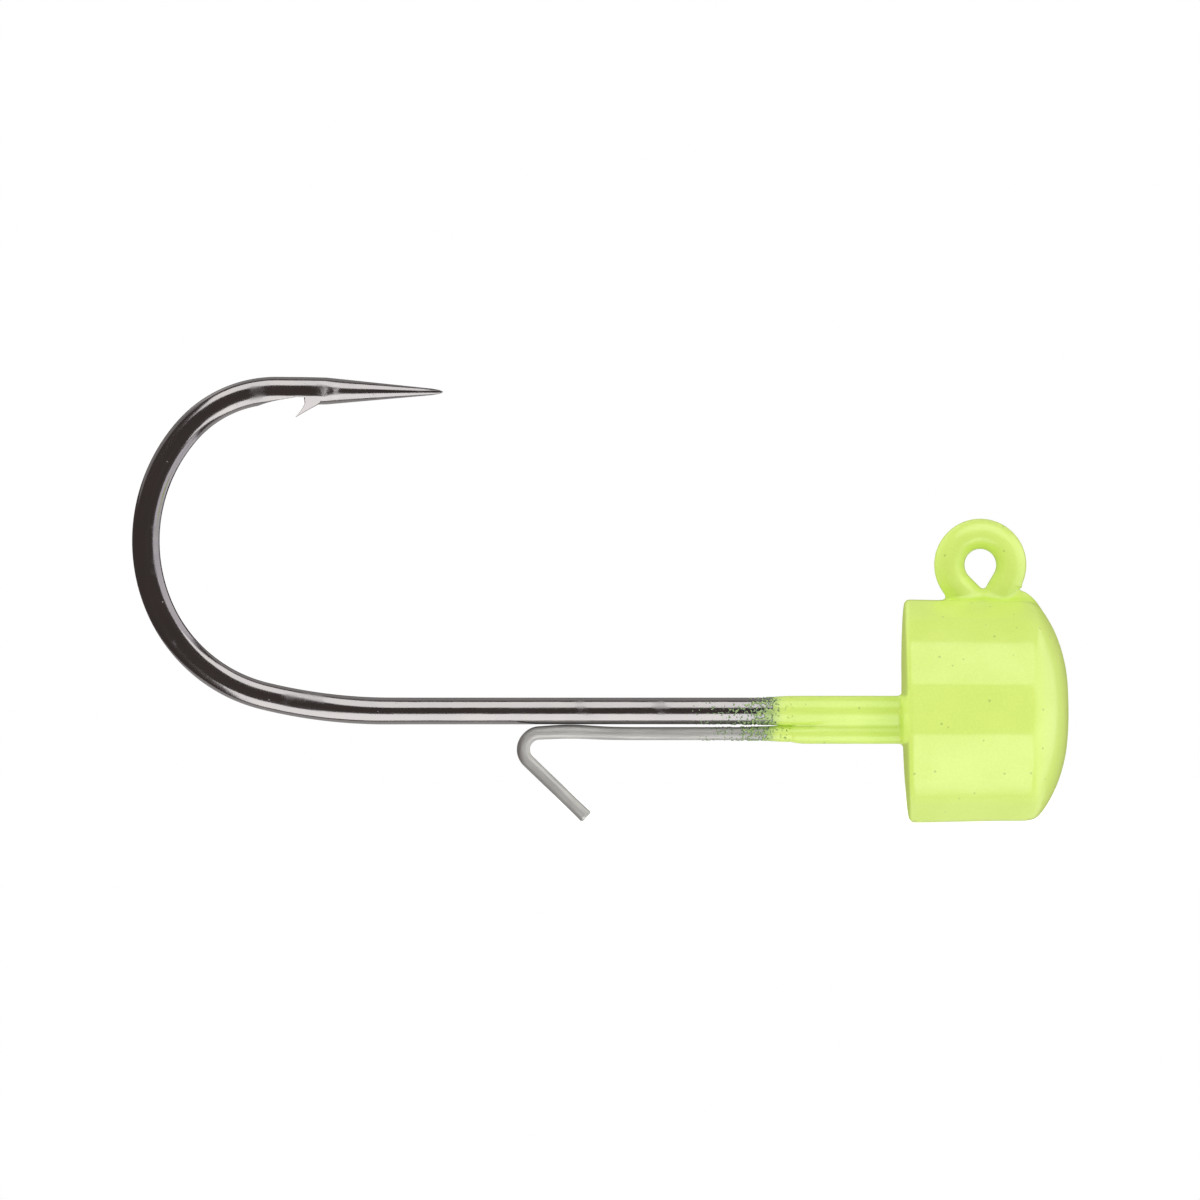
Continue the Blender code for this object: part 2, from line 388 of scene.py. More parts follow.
def join_solids(obj, other, names):
    """Union other into obj, and carry obj's vectors over to the nearest vertices of the result."""
    count = len(obj.data.vertices)
    tree = kdtree.KDTree(count)
    for i, vertex in enumerate(obj.data.vertices):
        tree.insert(vertex.co, i)
    tree.balance()
    kept = {name: np.zeros(3 * count) for name in names}
    for name in names:
        obj.data.attributes[name].data.foreach_get("vector", kept[name])
    modifier = obj.modifiers.new("Union", "BOOLEAN")
    modifier.operation = "UNION"
    modifier.solver = "EXACT"
    modifier.object = other
    graph = bpy.context.evaluated_depsgraph_get()
    mesh = bpy.data.meshes.new_from_object(obj.evaluated_get(graph))
    obj.modifiers.clear()
    obj.data = mesh
    bpy.data.objects.remove(other, do_unlink=True)
    mesh.set_sharp_from_angle(angle=math.radians(40))
    nearest = np.array([tree.find(vertex.co)[1] for vertex in mesh.vertices])
    for name in names:
        mesh.attributes.remove(mesh.attributes[name])
        store(obj, name, kept[name].reshape(-1, 3)[nearest])


# ---------------------------------------------------------------- hook


def hook_centreline():
    tail_heading = EYE_TAIL_AT - math.pi / 2
    tail_top = EYE_CENTRE + EYE_RADIUS * heading_vector(EYE_TAIL_AT)
    start = tail_top - EYE_TAIL * heading_vector(tail_heading)
    neck_slope = math.pi / 2 + EYE_NECK_AT
    neck_top = EYE_CENTRE + EYE_RADIUS * heading_vector(EYE_NECK_AT)
    tangent = JIG_BEND_RADIUS * math.tan(neck_slope / 2)
    neck = neck_top[1] / math.sin(neck_slope) - tangent
    shank_front = neck_top[0] - neck_top[1] / math.tan(neck_slope) - tangent
    legs = [
        (EYE_TAIL, 0, WIRE_STEP),
        (EYE_RADIUS, EYE_NECK_AT - EYE_TAIL_AT, WIRE_STEP),
        (neck, 0, WIRE_STEP),
        (JIG_BEND_RADIUS, -neck_slope, WIRE_STEP),
        (shank_front + SHANK_BEHIND_HEAD, 0, WIRE_STEP),
    ]
    legs += [(radius, -turn, WIRE_STEP) for radius, turn in BEND_ARCS]
    points, headings = trace(start, tail_heading, legs)
    run = (POINT_TIP_X - points[-1][0]) / math.cos(headings[-1])
    return trace(start, tail_heading, legs + [(run, 0, POINT_STEP)])


def make_hook():
    points, headings = hook_centreline()
    steps = np.linalg.norm(np.diff(points, axis=0), axis=1)
    back = np.concatenate((np.cumsum(steps[::-1])[::-1], (0.0,)))
    turns = np.linspace(0, 2 * math.pi, HOOK_SIDES, endpoint=False)
    bend = sum(radius * turn for radius, turn in BEND_ARCS)
    run = back[-1 - int(np.argmax(np.abs(np.diff(headings[::-1])) > 1e-9))]
    forged = smoothstep(run + bend + FORGED_FROM, run + bend - FORGED_FULL, back)
    depth = HOOK_RADIUS + (FORGED_DEPTH - HOOK_RADIUS) * forged
    width = HOOK_RADIUS + (FORGED_WIDTH - HOOK_RADIUS) * forged
    taper = np.interp(back, *zip(*POINT_PROFILE))
    # The point is ground to a ridge along each side
    sharper = ROUND_POWER - RIDGE_POWER
    ridge = ROUND_POWER - sharper * smoothstep(*RIDGE_FADE_IN, back)
    ridge += sharper * smoothstep(*RIDGE_FADE_OUT, back)
    around = np.cos(turns), np.sin(turns)
    rounded = [np.sign(a) * np.abs(a) ** (2 / ridge[:, None]) for a in around]
    lift = depth[:, None] * taper[:, None] * rounded[0]
    side = width[:, None] * taper[:, None] * rounded[1]
    # Forging presses two soft flats on the sides
    limit = width * (FLAT_ROUND_LIMIT - FLAT_FORGED_CUT * forged) * taper
    side = side / (1 + np.abs(side / limit[:, None]) ** FLAT_POWER) ** (1 / FLAT_POWER)
    # Scuffs and shallow dents from the press on both sides where the point starts
    mark = sum(strength * np.exp(-((back - at) / length) ** 2) for at, length, strength in SCUFFS)
    mark = mark[:, None] * np.exp(-(lift / SCUFF_HEIGHT) ** 2)
    side *= 1 - SCUFF_DENT * mark
    # The cut that raises the barb
    cut = np.where(back < BARB_HEEL_BACK, NO_CUT, CUT_DROP)
    cut = cut + CUT_RUNOUT_SLOPE * np.maximum(back - CUT_BACK, 0)
    lift = np.maximum(lift, -cut[:, None])
    # The sharp end is painted dark along its upper side: painted shade for the dark reflection there
    painted_tip_shade = smoothstep(*TIP_SHADE_FADE, back)[:, None] * smoothstep(*TIP_SHADE_SIDE, rounded[0])
    hook = sweep("hook_wire", points, headings, lift, side)
    store(hook, "mark", np.repeat(mark.reshape(-1, 1), 3, axis=1))
    store(hook, "painted_tip_shade", np.repeat(painted_tip_shade.reshape(-1, 1), 3, axis=1))
    barb = make_barb(points[-1], headings[-1])
    join_solids(hook, barb, ("wire", "mark", "painted_tip_shade"))
    return hook


def bezier(start, control, end, count):
    t = np.linspace(0, 1, count)[:, None]
    return (1 - t) ** 2 * np.array(start) + 2 * t * (1 - t) * np.array(control) + t ** 2 * np.array(end)


def make_barb(tip, heading):
    """The raised sliver: (back, drop) round its outline, and flat sides that close downwards."""
    upper = bezier(*BARB_UPPER, BARB_UPPER_COUNT)
    lower = bezier(*BARB_LOWER, BARB_LOWER_COUNT)
    outline = np.concatenate((upper, lower, (BARB_ROOT,)))
    along = heading_vector(heading)
    down = heading_vector(heading - math.pi / 2)
    flat = tip - outline[:, :1] * along + outline[:, 1:2] * down
    half = BARB_HALF_WIDTH - BARB_NARROWING * outline[:, 1]
    inner = flat + BARB_CHAMFER * (flat.mean(axis=0) - flat)
    drop = (tip - inner) @ -down
    inner_half = BARB_HALF_WIDTH - BARB_NARROWING * drop
    outer_half = np.maximum(half - BARB_BEVEL, BARB_EDGE)
    layers = ((-inner_half, inner), (-outer_half, flat), (outer_half, flat), (inner_half, inner))
    vertices = [(x, y, z) for ys, layer in layers for (x, z), y in zip(layer, ys)]
    count = len(outline)
    faces = [tuple(range(count)), tuple(reversed(range(3 * count, 4 * count)))]
    for base in range(0, 3 * count, count):
        for i in range(base, base + count):
            j = base + (i + 1 - base) % count
            faces.append((j, i, i + count, j + count))
    return new_object("barb", vertices, faces)


# ---------------------------------------------------------------- bait keeper


def make_keeper():
    start = np.array((KEEPER_ANCHOR_X, -KEEPER_DROP - KEEPER_ANCHOR_RADIUS - KEEPER_ANCHOR_LEG))
    legs = [
        (KEEPER_ANCHOR_LEG, 0, WIRE_STEP),
        (KEEPER_ANCHOR_RADIUS, math.pi / 2, WIRE_STEP / 2),
        (KEEPER_ANCHOR_X - KEEPER_ANCHOR_RADIUS - KEEPER_BEND_X, 0, WIRE_STEP),
        (KEEPER_BEND_RADIUS, KEEPER_BEND_TURN, WIRE_STEP / 3),
        (KEEPER_SPIKE, 0, WIRE_STEP / 2),
    ]
    points, headings = trace(start, math.pi / 2, legs)
    x, z = points.T
    bow = np.exp(-((x - BOW_X) / BOW_LENGTH) ** 2)
    bow = bow * smoothstep(-KEEPER_DROP - BOW_FADE, -KEEPER_DROP, z)
    points[:, 1] += BOW_LIFT * bow
    turns = np.linspace(0, 2 * math.pi, KEEPER_SIDES, endpoint=False)
    steps = np.linalg.norm(np.diff(points, axis=0), axis=1)
    left = np.concatenate((np.cumsum(steps[::-1])[::-1], (0.0,)))
    end = np.interp(left, *zip(*KEEPER_END))
    swell = 1 + KEEPER_SWELL * np.exp(-(left / KEEPER_SWELL_LENGTH) ** 2)
    lift = KEEPER_RADIUS * (end * swell)[:, None] * np.cos(turns)
    pressed = lift - BOW_THICKENING * bow[:, None] * (lift / KEEPER_RADIUS) ** 2
    lift = np.where(lift < 0, pressed, lift)
    side = KEEPER_RADIUS * (end / swell)[:, None] * np.sin(turns)
    return sweep("keeper_wire", points, headings, lift, side)


# ---------------------------------------------------------------- coat


def facets():
    """(angle from +Y, distance from the axis) of the head's 16 side faces."""
    found = []
    for quarter in range(4):
        for centre, width in (
            (0.0, BROAD_FACET),
            (BROAD_FACET, BROAD_FACET),
            (math.pi / 4, NARROW_FACET),
            (math.pi / 2 - BROAD_FACET, BROAD_FACET),
        ):
            found.append((quarter * math.pi / 2 + centre, CORNER_RADIUS * math.cos(width / 2)))
    for index, facet in OFF_FACETS.items():
        found[index] = facet
    return found


FACETS = facets()


def section_radius(y, z):
    """The side wall's distance from the axis in the direction of (y, z)."""
    reach = np.maximum(np.hypot(y, z), 1e-9)
    total = 0.0
    for angle, distance in FACETS:
        toward = (y * math.cos(angle) + z * math.sin(angle)) / (reach * distance / FACE_RADIUS)
        total = total + np.maximum(toward, 0) ** CORNER_SHARPNESS
    return FACE_RADIUS * total ** (-1 / CORNER_SHARPNESS)


def smooth_max(a, b, size):
    """The larger of two distances, rounded where they cross."""
    overlap = np.maximum(size - np.abs(a - b), 0) / size
    return np.maximum(a, b) + overlap ** 2 * size / 4


def smooth_min(a, b, size):
    """The smaller of two distances, filleted where they cross."""
    return -smooth_max(-a, -b, size)


def head_distance(x, y, z):
    """Distance to the crowned, faceted and domed head, which flares a little to its back."""
    reach = np.hypot(y, z)
    section = section_radius(y, z) * (1 + FLARE + FLARE * np.maximum(FLARE_START - x, 0))
    ratio = np.clip(reach / section, 0, CROWN_REACH)
    # Back crown
    crown_x = CROWN_APEX + CROWN_DEPTH * (1 - np.sqrt(1 - ratio ** 2)) - BACK_LEAN * z
    crown_slope = CROWN_DEPTH / section * ratio / np.sqrt(1 - ratio ** 2)
    back = (crown_x - x) / np.hypot(1, crown_slope)
    # Side and shoulder, as a radius at x
    left = np.maximum(HEAD_LENGTH - x, 1e-4)
    dome_radius = FACE_RADIUS * (left / DOME_DEPTH) ** (1 / DOME_POWER)
    power = SHOULDER_SHARPNESS
    radius = (section ** -power + dome_radius ** -power) ** (-1 / power)
    slope = (radius / dome_radius) ** (power + 1) * dome_radius / (DOME_POWER * left)
    side = (reach - radius) / np.hypot(1, slope)
    # Dome, as an x at the distance from the axis
    near = np.clip(reach / section, 1e-4, CAP_REACH) * section
    cap_radius = (near ** -power - section ** -power) ** (-1 / power)
    cap_x = HEAD_LENGTH - DOME_DEPTH * (cap_radius / FACE_RADIUS) ** DOME_POWER
    cap_slope = DOME_DEPTH * DOME_POWER / FACE_RADIUS
    cap_slope = cap_slope * (cap_radius / FACE_RADIUS) ** (DOME_POWER - 1)
    cap = (x - cap_x) / np.hypot(1, cap_slope * (cap_radius / near) ** (power + 1))
    front = np.where(reach < CAP_SHARE * section, cap, side)
    return smooth_max(back, front, RIM_ROUNDING)


def segment_distance(x, z, start, end):
    """Distance in the XZ plane to a straight run of wire."""
    run = np.array(end) - np.array(start)
    t = np.clip(((x - start[0]) * run[0] + (z - start[1]) * run[1]) / (run @ run), 0, 1)
    return np.hypot(x - start[0] - t * run[0], z - start[1] - t * run[1])


def eye_distance(x, y, z):
    """Distance to the coated eye, its neck and its cut end, with the paint that fills between them."""
    dx, dz = x - EYE_CENTRE[0], z - EYE_CENTRE[1]
    turn = (np.arctan2(dz, dx) - EYE_NECK_AT) % (2 * math.pi)
    neck_top = EYE_CENTRE + EYE_RADIUS * heading_vector(EYE_NECK_AT)
    neck_end = neck_top + NECK_RUN * heading_vector(EYE_NECK_AT - math.pi / 2)
    tail_top = EYE_CENTRE + EYE_RADIUS * heading_vector(EYE_TAIL_AT)
    tail_end = tail_top + (EYE_TAIL + TAIL_RUN_ON) * heading_vector(EYE_TAIL_AT + math.pi / 2)
    on_arc = turn < EYE_TAIL_AT - EYE_NECK_AT
    ring = np.where(on_arc, np.abs(np.hypot(dx, dz) - EYE_RADIUS), OFF_ARC)
    ring = np.minimum(ring, segment_distance(x, z, tail_top, tail_end))
    radius = HOOK_RADIUS + FILM
    ring = np.hypot(ring, y) - radius
    neck = np.hypot(segment_distance(x, z, neck_top, neck_end), y) - radius
    fill = EYE_FILL + EYE_FILL_LOW * smoothstep(*EYE_FILL_Z, z)
    root = np.sqrt((x - ROOT_X) ** 2 + (y / ROOT_FLATNESS) ** 2 + (z - ROOT_Z) ** 2) - ROOT_RADIUS
    return smooth_min(smooth_min(ring, neck, fill), root, ROOT_FILLET)


def collar_distance(x, y, z):
    """Distance to the coat on the two wires behind the head, with the paint that fills the groove."""
    thin = COLLAR_THINNING * smoothstep(*COLLAR_THIN_X, x)
    hook = np.hypot(y, z) - (HOOK_RADIUS + FILM - thin)
    sag = COLLAR_SAG * smoothstep(*COLLAR_SAG_X, x)
    keeper_radius = KEEPER_RADIUS + FILM - thin + SAG_SWELL * sag
    keeper = np.hypot(y, z + KEEPER_DROP + SAG_DROP * sag) - keeper_radius
    fill = GROOVE_FILL + GROOVE_FILL_MORE * smoothstep(*GROOVE_FILL_X, x)
    wires = smooth_min(hook, keeper, fill)
    ends = smooth_max(-COLLAR_END - x, x - COLLAR_INTO_HEAD, COLLAR_CORNER)
    return smooth_max(wires, ends, COLLAR_CORNER)


def coat_distance(points):
    x, y, z = points.T
    body = smooth_min(head_distance(x, y, z), collar_distance(x, y, z), COLLAR_FILLET)
    return smooth_min(body, eye_distance(x, y, z), EYE_FILLET)


def casting_distance(points):
    """Distance to the lead, a film's thickness inside the coat."""
    return head_distance(*points.T) + FILM


def gradient(distance, points):
    """Unit outward direction of a distance field at the points, and its length."""
    step = 1e-3
    parts = []
    for axis in range(3):
        offset = np.zeros(3)
        offset[axis] = step
        parts.append((distance(points + offset) - distance(points - offset)) / (2 * step))
    slope = np.stack(parts, axis=-1)
    length = np.maximum(np.linalg.norm(slope, axis=1, keepdims=True), 1e-6)
    return slope / length, length[:, 0]


def surface_cells(distance, low, high, cell):
    """A quad mesh round the zero of a distance field, with one vertex in each crossed cell."""
    axes = [np.arange(l, h + cell, cell) for l, h in zip(low, high)]
    shape = tuple(len(a) for a in axes)
    values = np.empty(shape)
    for i, x in enumerate(axes[0]):
        y, z = np.meshgrid(axes[1], axes[2], indexing="ij")
        slab = np.stack((np.full(y.shape, x), y, z), axis=-1).reshape(-1, 3)
        values[i] = distance(slab).reshape(y.shape)
    inside = values < 0
    n = [s - 1 for s in shape]
    corners = np.zeros(n, int)
    for i in (0, 1):
        for j in (0, 1):
            for k in (0, 1):
                corners += inside[i:i + n[0], j:j + n[1], k:k + n[2]]
    crossed = (corners > 0) & (corners < 8)
    index = np.full(crossed.shape, -1)
    index[crossed] = np.arange(crossed.sum())
    vertices = (np.argwhere(crossed) + 0.5) * cell + np.array([a[0] for a in axes])
    quads = []
    for axis in range(3):
        first = np.moveaxis(inside, axis, 0)
        change = first[1:] != first[:-1]
        goes_out = first[:-1] & ~first[1:]
        cells = np.moveaxis(index, axis, 0)
        change = change[:, 1:-1, 1:-1]
        goes_out = goes_out[:, 1:-1, 1:-1]
        a, b, c = np.nonzero(change)
        around = (cells[a, b, c], cells[a, b + 1, c], cells[a, b + 1, c + 1], cells[a, b, c + 1])
        ring = np.stack(around, axis=-1)
        flip = goes_out[a, b, c] ^ (axis == 1)
        ring[~flip] = ring[~flip][:, ::-1]
        quads.append(ring)
    return vertices, np.concatenate(quads)


def relax(vertices, quads, distance):
    """Even out the vertices along the surface, and put them on it."""
    edges = np.concatenate([quads[:, [i, (i + 1) % 4]] for i in range(4)])
    count = np.bincount(edges[:, 0], minlength=len(vertices))
    for _ in range(RELAX_ROUNDS):
        total = np.stack(
            [np.bincount(edges[:, 0], vertices[edges[:, 1], axis], len(vertices)) for axis in range(3)],
            axis=-1,
        )
        vertices = vertices + RELAX_SHARE * (total / count[:, None] - vertices)
        for _ in range(2):
            outward, length = gradient(distance, vertices)
            step = np.clip(distance(vertices) / length, -RELAX_LIMIT, RELAX_LIMIT)
            vertices = vertices - step[:, None] * outward
    return vertices


def make_coat():
    vertices, quads = surface_cells(coat_distance, *COAT_SPACE, COAT_CELL)
    vertices = relax(vertices, quads, coat_distance)
    outward, _ = gradient(coat_distance, vertices)
    ripple = np.array([
        sum(noise.noise(Vector(p) * scale) * height for scale, height in RIPPLES)
        for p in vertices.tolist()
    ])
    coat = new_object("coat", vertices + ripple[:, None] * outward, quads.tolist(), None)
    # Painted shade in the creases: darker where a fillet lifts the surface off the parts that meet there
    x, y, z = vertices.T
    wires = np.minimum(collar_distance(x, y, z), eye_distance(x, y, z))
    apart = np.minimum(head_distance(x, y, z), wires)
    painted_crease_shade = np.clip((apart - coat_distance(vertices)) / CREASE_SHADE_DEPTH, 0, 1)
    store(coat, "painted_crease_shade", np.stack((painted_crease_shade, painted_crease_shade, painted_crease_shade), axis=-1))
    return coat


def make_casting():
    vertices, quads = surface_cells(casting_distance, *CASTING_SPACE, CASTING_CELL)
    vertices = relax(vertices, quads, casting_distance)
    return new_object("lead_casting", vertices, quads.tolist(), None)


# ---------------------------------------------------------------- paint edge on the wires


def film_at(x, y, z, shift, seed):
    """Thickness of the ragged film: islands on the left that run together to the right."""
    spots = np.empty(x.size)
    for i, p in enumerate(zip(x.ravel().tolist(), y.ravel().tolist(), z.ravel().tolist())):
        v = Vector(p) + Vector((seed, 0, 0))
        spots[i] = sum(share * noise.noise(v * scale) for scale, share in SPOT_NOISE)
    # On the top of the wire the film stays thin for longer
    top = smoothstep(*TOP_THINNING_Z, z) * smoothstep(*TOP_THINNING_X, x)
    spots = spots.reshape(x.shape) - TOP_THINNING * top
    level = np.interp(x - shift, *zip(*BARE_LEVEL))
    full = smoothstep(FULL_FILM_X[0] + shift, FULL_FILM_X[1] + shift, x)
    return np.clip((spots - level) * SPOT_HEIGHT, SPOT_DEPTH, SPOT_LIMIT + FULL_FILM_MORE * full)


def paint_edge(name, drop, radius, shift, seed, sides):
    """A sleeve that lies under the wire's surface except where the film is."""
    along = np.arange(SLEEVE_START, SLEEVE_END, SLEEVE_STEP)
    turns = np.linspace(0, 2 * math.pi, sides, endpoint=False)
    x, turn = np.meshgrid(along, turns, indexing="ij")
    film = film_at(x, radius * np.cos(turn), radius * np.sin(turn), shift, seed)
    under = smoothstep(*SLEEVE_TUCK_X, x) * SLEEVE_TUCK
    reach = radius + film - under
    vertices = np.stack((x, reach * np.cos(turn), reach * np.sin(turn) - drop), axis=-1).reshape(-1, 3)
    obj = new_object(name, vertices, tube_faces(len(along), sides), None)
    store(obj, "film", np.stack((film, film, film), axis=-1).reshape(-1, 3))
    return obj


# ---------------------------------------------------------------- materials


def add_node(tree, kind, settings=None, inputs=None):
    """A node with its settings, and its inputs set to values or linked to sockets."""
    made = tree.nodes.new(kind)
    for key, value in (settings or {}).items():
        setattr(made, key, value)
    for key, value in (inputs or {}).items():
        if isinstance(value, bpy.types.NodeSocket):
            tree.links.new(value, made.inputs[key])
        else:
            made.inputs[key].default_value = value
    return made


def noise_at(tree, vector, scale, detail=3.0, stretch=(1, 1, 1)):
    mapped = add_node(tree, "ShaderNodeMapping", None, {"Vector": vector, "Scale": stretch})
    made = add_node(
        tree,
        "ShaderNodeTexNoise",
        None,
        {"Vector": mapped.outputs["Vector"], "Scale": scale, "Detail": detail},
    )
    return made.outputs["Fac"]


def ramp(tree, value, low, high, start=0.0, end=1.0):
    made = add_node(
        tree,
        "ShaderNodeMapRange",
        {"interpolation_type": "SMOOTHSTEP"},
        {"Value": value, "From Min": low, "From Max": high, "To Min": start, "To Max": end},
    )
    return made.outputs["Result"]


def mix_colour(tree, factor, first, second):
    made = tree.nodes.new("ShaderNodeMix")
    made.data_type = "RGBA"
    for socket, value in ((made.inputs[0], factor), (made.inputs[6], first), (made.inputs[7], second)):
        if isinstance(value, bpy.types.NodeSocket):
            tree.links.new(value, socket)
        elif isinstance(value, tuple):
            socket.default_value = (*value, 1.0)
        else:
            socket.default_value = value
    return made.outputs[2]


def math_node(tree, operation, first, second):
    made = tree.nodes.new("ShaderNodeMath")
    made.operation = operation
    for socket, value in zip(made.inputs, (first, second)):
        if isinstance(value, bpy.types.NodeSocket):
            tree.links.new(value, socket)
        else:
            socket.default_value = value
    return made.outputs[0]


def new_material(name):
    material = bpy.data.materials.new(name)
    material.use_nodes = True
    tree = material.node_tree
    return material, tree, tree.nodes["Principled BSDF"]


def bump(tree, shader, height, distance, strength=1.0):
    made = add_node(
        tree, "ShaderNodeBump", None, {"Height": height, "Distance": distance, "Strength": strength}
    )
    tree.links.new(made.outputs["Normal"], shader.inputs["Normal"])


def wire_vector(tree):
    return add_node(tree, "ShaderNodeAttribute", {"attribute_name": "wire"}).outputs["Vector"]


def black_nickel():
    material, tree, shader = new_material("black_nickel")
    vector = wire_vector(tree)
    cloud = noise_at(tree, vector, 0.45, 3.0)
    streak = noise_at(tree, vector, 5.0, 4.0, (0.06, 1, 1))
    grain = noise_at(tree, vector, 9.0, 4.0)
    colour = mix_colour(tree, ramp(tree, cloud, 0.3, 0.7), NICKEL, NICKEL_SHADE)
    specks = add_node(
        tree, "ShaderNodeTexVoronoi", None, {"Vector": vector, "Scale": 1.9, "Randomness": 1.0}
    ).outputs["Distance"]
    dust = ramp(tree, specks, 0.075, 0.045)
    colour = mix_colour(tree, math_node(tree, "MULTIPLY", dust, 0.55), colour, NICKEL_DUST)
    mark = add_node(tree, "ShaderNodeAttribute", {"attribute_name": "mark"}).outputs["Fac"]
    scuff = math_node(tree, "MULTIPLY", mark, ramp(tree, grain, 0.30, 0.60, 0.35, 1.0))
    colour = mix_colour(tree, scuff, colour, NICKEL_SCUFF)
    # Painted shade: the sharp end's upper side is darkened where its reflection is dark
    painted_tip_shade = add_node(tree, "ShaderNodeAttribute", {"attribute_name": "painted_tip_shade"}).outputs["Fac"]
    colour = mix_colour(tree, math_node(tree, "MULTIPLY", painted_tip_shade, 0.75), colour, NICKEL_TIP_SHADE)
    tree.links.new(colour, shader.inputs["Base Color"])
    shader.inputs["Metallic"].default_value = 1.0
    smudge = ramp(tree, noise_at(tree, vector, 0.75, 4.0, (0.6, 1, 1)), 0.60, 0.70)
    rough = ramp(tree, streak, 0.30, 0.75, 0.12, 0.20)
    rough = math_node(tree, "ADD", rough, math_node(tree, "MULTIPLY", dust, 0.35))
    rough = math_node(tree, "ADD", rough, math_node(tree, "MULTIPLY", smudge, 0.22))
    rough = math_node(tree, "ADD", rough, math_node(tree, "MULTIPLY", scuff, 0.55))
    tree.links.new(rough, shader.inputs["Roughness"])
    # Drawing lines and grain, over the slight waves of a bent and plated wire
    wave = noise_at(tree, vector, 1.3, 2.0, (0.6, 1, 1))
    height = math_node(tree, "MULTIPLY", math_node(tree, "ADD", streak, grain), 0.45)
    height = math_node(tree, "ADD", height, math_node(tree, "MULTIPLY", wave, 9.0))
    bump(tree, shader, height, 0.0000012)
    return material


def plain_wire():
    material, tree, shader = new_material("plain_wire")
    vector = wire_vector(tree)
    drawn = noise_at(tree, vector, 11.0, 4.0, (0.05, 1, 1))
    cloud = noise_at(tree, vector, 1.1, 4.0, (0.5, 1, 1))
    colour = mix_colour(tree, ramp(tree, cloud, 0.35, 0.68), STEEL, STEEL_SHADE)
    colour = mix_colour(tree, ramp(tree, drawn, 0.48, 0.66, 0.0, 0.3), colour, STEEL_STREAK)
    tree.links.new(colour, shader.inputs["Base Color"])
    shader.inputs["Metallic"].default_value = 1.0
    tree.links.new(ramp(tree, drawn, 0.3, 0.7, 0.60, 0.70), shader.inputs["Roughness"])
    bump(tree, shader, drawn, 0.000002)
    return material


def object_millimetres(tree):
    made = add_node(tree, "ShaderNodeTexCoord")
    scaled = add_node(
        tree, "ShaderNodeMapping", None, {"Vector": made.outputs["Object"], "Scale": (1000, 1000, 1000)}
    )
    return scaled.outputs["Vector"]


def chartreuse_coat(name, on_wire):
    """Glossy powder paint; on the wires it is darker and greener where the film is thin."""
    material, tree, shader = new_material(name)
    vector = object_millimetres(tree)
    cloud = noise_at(tree, vector, 0.55, 3.0)
    peel = noise_at(tree, vector, 2.6, 2.0)
    fine = noise_at(tree, vector, 14.0, 3.0)
    colour = mix_colour(tree, ramp(tree, cloud, 0.3, 0.7), COAT_LIGHT, COAT_DEEP)
    colour = mix_colour(tree, ramp(tree, fine, 0.35, 0.75, 0.0, 0.10), colour, COAT_BLOOM)
    pits = add_node(
        tree, "ShaderNodeTexVoronoi", None, {"Vector": vector, "Scale": 1.6, "Randomness": 1.0}
    ).outputs["Distance"]
    hole = ramp(tree, pits, 0.10, 0.06)
    colour = mix_colour(tree, math_node(tree, "MULTIPLY", hole, 0.55), colour, COAT_PIT)
    height = math_node(tree, "ADD", peel, math_node(tree, "MULTIPLY", fine, 0.12))
    height = math_node(tree, "SUBTRACT", height, math_node(tree, "MULTIPLY", hole, 1.5))
    if on_wire:
        film = add_node(tree, "ShaderNodeAttribute", {"attribute_name": "film"}).outputs["Fac"]
        thick = ramp(tree, film, 0.004, 0.066)
        colour = mix_colour(tree, thick, COAT_THIN, colour)
        tree.links.new(ramp(tree, film, 0.010, 0.055, 0.75, 0.0), shader.inputs["Metallic"])
        # Painted glow, full where the film is thick
        painted_glow = math_node(tree, "MULTIPLY", thick, PAINTED_GLOW_STRENGTH)
        tree.links.new(painted_glow, shader.inputs["Emission Strength"])
    else:
        # Painted shade in the creases where the head, collar and eye meet
        painted_crease_shade = add_node(tree, "ShaderNodeAttribute", {"attribute_name": "painted_crease_shade"}).outputs["Fac"]
        colour = mix_colour(tree, math_node(tree, "MULTIPLY", painted_crease_shade, 0.7), colour, COAT_CREASE_SHADE)
    tree.links.new(colour, shader.inputs["Base Color"])
    tree.links.new(ramp(tree, cloud, 0.3, 0.7, 0.56, 0.62), shader.inputs["Roughness"])
    # Painted glow: the coat gives off light of its own, standing in for the fluorescent pigment and lifting
    # it even in the creases
    shader.inputs["Emission Color"].default_value = COAT_PAINTED_GLOW
    shader.inputs["Emission Strength"].default_value = PAINTED_GLOW_STRENGTH
    shader.inputs["Specular IOR Level"].default_value = 1.0
    shader.inputs["Coat Weight"].default_value = 0.65
    shader.inputs["Coat IOR"].default_value = 1.6
    shader.inputs["Coat Roughness"].default_value = 0.16
    bump(tree, shader, height, 0.000012, 0.6)
    return material


def cast_lead():
    material, tree, shader = new_material("cast_lead")
    vector = object_millimetres(tree)
    cloud = noise_at(tree, vector, 1.2, 5.0)
    colour = mix_colour(tree, ramp(tree, cloud, 0.3, 0.7), LEAD, LEAD_LIGHT)
    tree.links.new(colour, shader.inputs["Base Color"])
    shader.inputs["Metallic"].default_value = 1.0
    tree.links.new(ramp(tree, cloud, 0.3, 0.7, 0.5, 0.75), shader.inputs["Roughness"])
    bump(tree, shader, cloud, 0.00002)
    return material


# ---------------------------------------------------------------- studio


